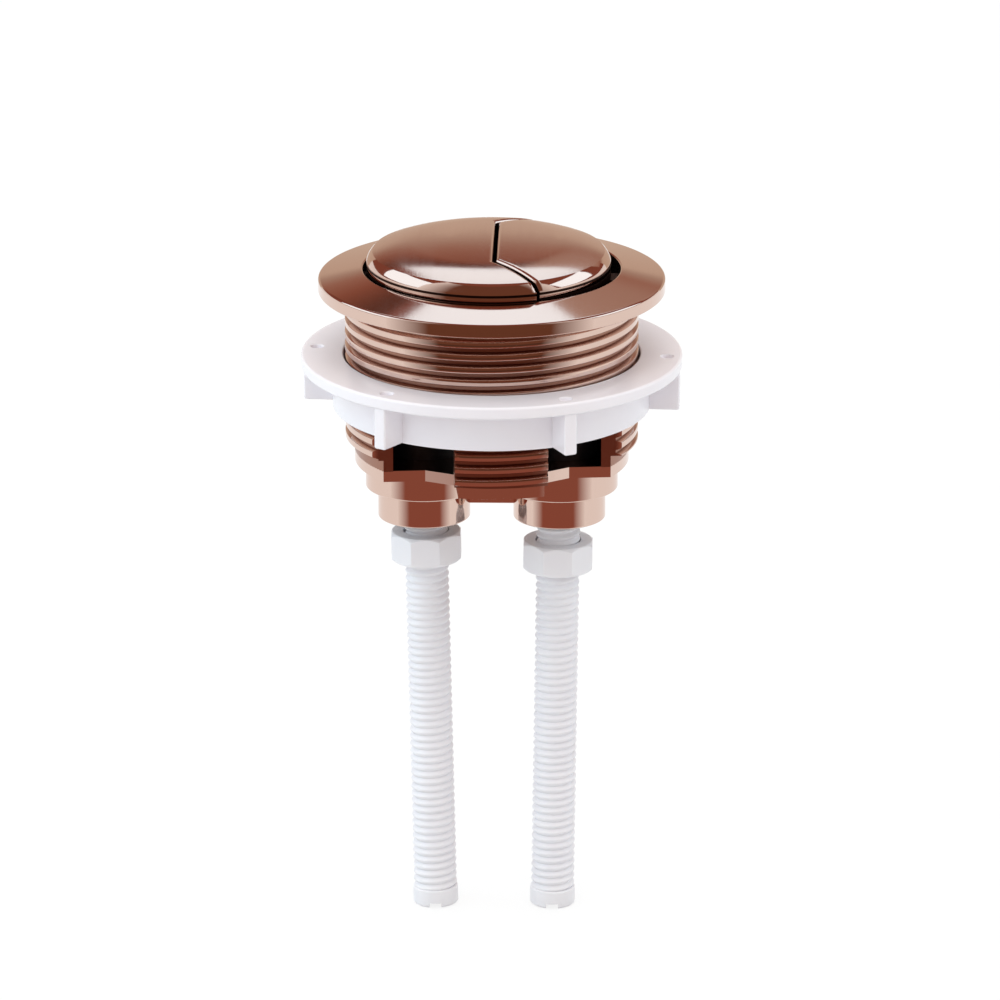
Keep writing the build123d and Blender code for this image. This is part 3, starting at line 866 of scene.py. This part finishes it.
# ---- Plungers and return springs ----
# Inside the barrel each cap presses a dark acetal plunger, whose bell covers a coil spring of bright wire.
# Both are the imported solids, seen only through the windows and the gaps, with their finish put on.
def dark_acetal():
    """Moulded acetal, nearly black, the colour also painted shade for the inside of the barrel: a soft sheen with a
    little unevenness.
    """
    material, tree = new_material("moulded_dark_acetal")
    place = add_node(tree, "ShaderNodeTexCoord")
    grain = add_node(tree, "ShaderNodeTexNoise", {"Scale": 1400.0, "Detail": 3.0},
                     {"Vector": place.outputs["Object"]})
    rough = add_node(tree, "ShaderNodeMapRange", {"To Min": 0.38, "To Max": 0.52}, {"Value": grain.outputs[0]})
    bump = add_node(tree, "ShaderNodeBump", {"Strength": 0.2, "Distance": 0.00003}, {"Height": grain.outputs[0]})
    plastic = add_node(tree, "ShaderNodeBsdfPrincipled", {"Base Color": linear("#17161a"), "IOR": 1.48},
                       {"Roughness": rough.outputs[0], "Normal": bump.outputs[0]})
    add_node(tree, "ShaderNodeOutputMaterial", {}, {"Surface": plastic.outputs[0]})
    return material


def spring_steel():
    """Hard-drawn spring wire: grey steel with fine drawing lines, a little dull."""
    material, tree = new_material("drawn_spring_steel")
    place = add_node(tree, "ShaderNodeTexCoord")
    drawn = add_node(tree, "ShaderNodeMapping", {"Scale": (600, 600, 9000)}, {"Vector": place.outputs["Object"]})
    marks = add_node(tree, "ShaderNodeTexNoise", {"Scale": 1.0, "Detail": 3.0}, {"Vector": drawn.outputs[0]})
    rough = add_node(tree, "ShaderNodeMapRange", {"To Min": 0.22, "To Max": 0.4}, {"Value": marks.outputs[0]})
    metal = add_node(tree, "ShaderNodeBsdfPrincipled", {"Base Color": linear("#b9bcc2"), "Metallic": 1.0},
                     {"Roughness": rough.outputs[0]})
    add_node(tree, "ShaderNodeOutputMaterial", {}, {"Surface": metal.outputs[0]})
    return material


for material, kind in ((dark_acetal(), "plunger"), (spring_steel(), "spring")):
    for side_name in ("full", "half"):
        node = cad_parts[f"{side_name}_{kind}"]
        node.data.materials.clear()
        node.data.materials.append(material)


# ---- Push rods ----
# White acetal rods, screwed into the plungers from below. Their rounded thread runs down to a plain
# foot with a screwdriver slot, and both lean a little towards the middle.
ROD_CREST = 4.3
ROD_ROOT = 3.75
ROD_PITCH = 1.5
ROD_TURNS = 73
FOOT_RADIUS = 4.45
FOOT_LENGTH = 3.6
ROD_LENGTH = 107.0
ROD_END = -127.0
ROD_PIVOT = -35.0
SLOT_WIDTH = 2.4
SLOT_DEPTH = 1.0
SLOT_REACH = 9
FULL_LEAN = math.radians(1.28)
HALF_LEAN = math.radians(0.74)


def white_acetal():
    """Moulded white acetal: faintly bluish and milky, with the fine satin of a moulding tool."""
    material, tree = new_material("moulded_white_acetal")
    place = add_node(tree, "ShaderNodeTexCoord")
    cloud = add_node(tree, "ShaderNodeTexNoise", {"Scale": 120.0, "Detail": 2.0},
                     {"Vector": place.outputs["Object"]})
    grain = add_node(tree, "ShaderNodeTexNoise", {"Scale": 2500.0, "Detail": 2.0},
                     {"Vector": place.outputs["Object"]})
    tint = add_node(tree, "ShaderNodeMix", {"data_type": "RGBA", 6: linear("#e9e8ee"), 7: linear("#efeef2")},
                    {0: cloud.outputs[0]})
    rough = add_node(tree, "ShaderNodeMapRange", {"To Min": 0.32, "To Max": 0.46}, {"Value": grain.outputs[0]})
    bump = add_node(tree, "ShaderNodeBump", {"Strength": 0.1, "Distance": 0.00002}, {"Height": grain.outputs[0]})
    plastic = add_node(tree, "ShaderNodeBsdfPrincipled",
                       {"IOR": 1.48, "Subsurface Weight": 0.12, "Subsurface Scale": 0.0012,
                        "Subsurface Radius": (1.0, 0.9, 0.85)},
                       {"Base Color": tint.outputs[2], "Roughness": rough.outputs[0], "Normal": bump.outputs[0]})
    add_node(tree, "ShaderNodeOutputMaterial", {}, {"Surface": plastic.outputs[0]})
    return material


white = white_acetal()


def lean(piece, side, angle):
    """Leans a piece about the middle of its plunger's collar, towards the middle of the barrel below it."""
    clear_selection()
    piece.select_set(True)
    bpy.context.view_layer.objects.active = piece
    bpy.ops.object.mode_set(mode="EDIT")
    bpy.ops.mesh.select_all(action="SELECT")
    bpy.ops.transform.rotate(value=-side * angle, orient_axis="Y",
                             center_override=(side * CUP_PLACES[1] * MM, 0, ROD_PIVOT * MM))
    bpy.ops.object.mode_set(mode="OBJECT")


def push_rod(name, side, angle, body, node):
    """A push rod: wound thread with a turned and slotted foot."""
    place = side * CUP_PLACES[1]
    end = ROD_PIVOT - (ROD_PIVOT - ROD_END) / math.cos(angle)
    wave = [(ROD_ROOT + (ROD_CREST - ROD_ROOT) * (0.5 - 0.5 * math.cos(2 * math.pi * step / 8)) ** 0.8,
             end + FOOT_LENGTH - 2 * ROD_PITCH + ROD_PITCH * step / 8) for step in range(9)]
    rod = wound_thread(name, wave, ROD_PITCH, turns=ROD_TURNS, steps=40, low=end + FOOT_LENGTH - 0.3,
                       high=end + ROD_LENGTH, centre=(place, 0))
    foot_outline = rounded([(FOOT_RADIUS, end, 0.5), (FOOT_RADIUS, end + FOOT_LENGTH, 0.35),
                            (0, end + FOOT_LENGTH, 0), (0, end, 0)])
    foot = turned("foot", foot_outline[:-1], steps=64, centre=(place, 0), floor=True)
    combine(foot, block("slot", (place - SLOT_WIDTH / 2, -SLOT_REACH, end - 1),
                        (place + SLOT_WIDTH / 2, SLOT_REACH, end + SLOT_DEPTH)))
    combine(rod, foot, "UNION")
    lean(rod, side, angle)
    finish_piece(rod, body, white, angle=40, replaced=(node,))


push_rod("large_flush_rod", -1, FULL_LEAN, "full_rod", "full_rod")
push_rod("small_flush_rod", 1, HALF_LEAN, "half_rod", "half_rod")


# ---- Lock nuts ----
# Eight-sided white nuts of the same acetal, chamfered at both ends, that lock the rods under the cups.
NUT_ACROSS_FLATS = 13.5
NUT_HEIGHT = 5.9
NUT_CHAMFER = 0.7
NUT_BORE = 4.5
FULL_NUT_DEPTH = 49.1
HALF_NUT_DEPTH = 50.9


def lock_nut(name, side, angle, depth, body, node):
    """A lock nut: an eight-sided bar, its corners turned off at both ends, bored, and its edges broken."""
    place = side * CUP_PLACES[1]
    top = ROD_PIVOT - (depth + ROD_PIVOT) / math.cos(angle)
    corner = NUT_ACROSS_FLATS / 2 / math.cos(math.pi / 8)
    clear_selection()
    bpy.ops.mesh.primitive_cylinder_add(vertices=8, radius=corner * MM, depth=NUT_HEIGHT * MM,
                                        location=(place * MM, 0, (top - NUT_HEIGHT / 2) * MM),
                                        rotation=(0, 0, math.pi / 8))
    nut = bpy.context.object
    nut.name = name
    bpy.ops.object.transform_apply()
    bottom = top - NUT_HEIGHT
    turned_off = [(corner - NUT_CHAMFER, bottom), (corner, bottom + NUT_CHAMFER), (corner, top - NUT_CHAMFER),
                  (corner - NUT_CHAMFER, top), (0, top)]
    combine(nut, turned("chamfers", turned_off, steps=96, centre=(place, 0), floor=True), "INTERSECT")
    combine(nut, turned("bore", [(NUT_BORE, bottom - 1), (NUT_BORE, top + 1), (0, top + 1)], steps=48,
                        centre=(place, 0), floor=True))
    break_edges(nut, 0.18, angle=25)
    lean(nut, side, angle)
    finish_piece(nut, body, white, replaced=(node,))


lock_nut("large_flush_lock_nut", -1, FULL_LEAN, FULL_NUT_DEPTH, "full_lock_nut", "full_lock_nut")
lock_nut("small_flush_lock_nut", 1, HALF_LEAN, HALF_NUT_DEPTH, "half_lock_nut", "half_lock_nut")


# ---- Ring nut ----
# The big white nut that clamps the lid from below: a flange on a hub, six gripping lugs, and a small
# ejector pit in the flange above each lug. It is moulded in glossy ABS.
RING_BORE = 28.8
RING_FLANGE = 37.0
RING_HUB = 30.9
RING_TOP = -12.6
RING_FLANGE_BOTTOM = -15.0
RING_BOTTOM = -23.2
LUG_WIDTH = 2.6
LUG_ROOT = 0.6
LUG_SETBACK = 0.35
LUG_START = math.radians(-4.5)
PIT_RADIUS = 1.2
PIT_CIRCLE = 34.1
PIT_DEPTH = 0.8


def white_abs():
    """Glossy moulded ABS: a cool white, slightly lavender, with the faint swell of a thick moulding."""
    material, tree = new_material("moulded_white_abs")
    place = add_node(tree, "ShaderNodeTexCoord")
    swell = add_node(tree, "ShaderNodeTexNoise", {"Scale": 90.0, "Detail": 1.0},
                     {"Vector": place.outputs["Object"]})
    haze = add_node(tree, "ShaderNodeTexNoise", {"Scale": 1800.0, "Detail": 3.0},
                    {"Vector": place.outputs["Object"]})
    tint = add_node(tree, "ShaderNodeMix", {"data_type": "RGBA", 6: linear("#efecf3"), 7: linear("#f4f1f6")},
                    {0: swell.outputs[0]})
    rough = add_node(tree, "ShaderNodeMapRange", {"To Min": 0.16, "To Max": 0.26}, {"Value": haze.outputs[0]})
    bump = add_node(tree, "ShaderNodeBump", {"Strength": 0.2, "Distance": 0.00006}, {"Height": swell.outputs[0]})
    plastic = add_node(tree, "ShaderNodeBsdfPrincipled",
                       {"IOR": 1.53, "Subsurface Weight": 0.08, "Subsurface Scale": 0.001,
                        "Subsurface Radius": (1.0, 0.9, 0.85)},
                       {"Base Color": tint.outputs[2], "Roughness": rough.outputs[0], "Normal": bump.outputs[0]})
    add_node(tree, "ShaderNodeOutputMaterial", {}, {"Surface": plastic.outputs[0]})
    return material


ring_outline = rounded([
    (RING_BORE, RING_TOP, 0.35),
    (RING_FLANGE, RING_TOP, 0.5),
    (RING_FLANGE, RING_FLANGE_BOTTOM, 0.4),
    (RING_HUB, RING_FLANGE_BOTTOM, 0.5),
    (RING_HUB, RING_BOTTOM, 0.35),
    (RING_BORE, RING_BOTTOM, 0.35),
])
ring_nut = turned("clamping_ring_nut", ring_outline + ring_outline[:1], steps=192)
for count in range(6):
    turn = LUG_START + math.radians(60 * count)
    lug = block("lug", (RING_HUB - LUG_ROOT, -LUG_WIDTH / 2, RING_BOTTOM + 0.05),
                (RING_FLANGE - LUG_SETBACK, LUG_WIDTH / 2, RING_FLANGE_BOTTOM + 1), turn)
    break_edges(lug, 0.4)
    combine(ring_nut, lug, "UNION")
    middle = (PIT_CIRCLE * math.cos(turn), PIT_CIRCLE * math.sin(turn))
    pit = turned("pit", [(PIT_RADIUS - 0.1, RING_TOP - PIT_DEPTH), (PIT_RADIUS, RING_TOP - 0.2),
                         (PIT_RADIUS + 0.5, RING_TOP + 0.3), (0, RING_TOP + 0.3)],
                 steps=32, centre=middle, floor=True)
    combine(ring_nut, pit)
finish_piece(ring_nut, "ring_nut", white_abs(), replaced=("ring_nut",))
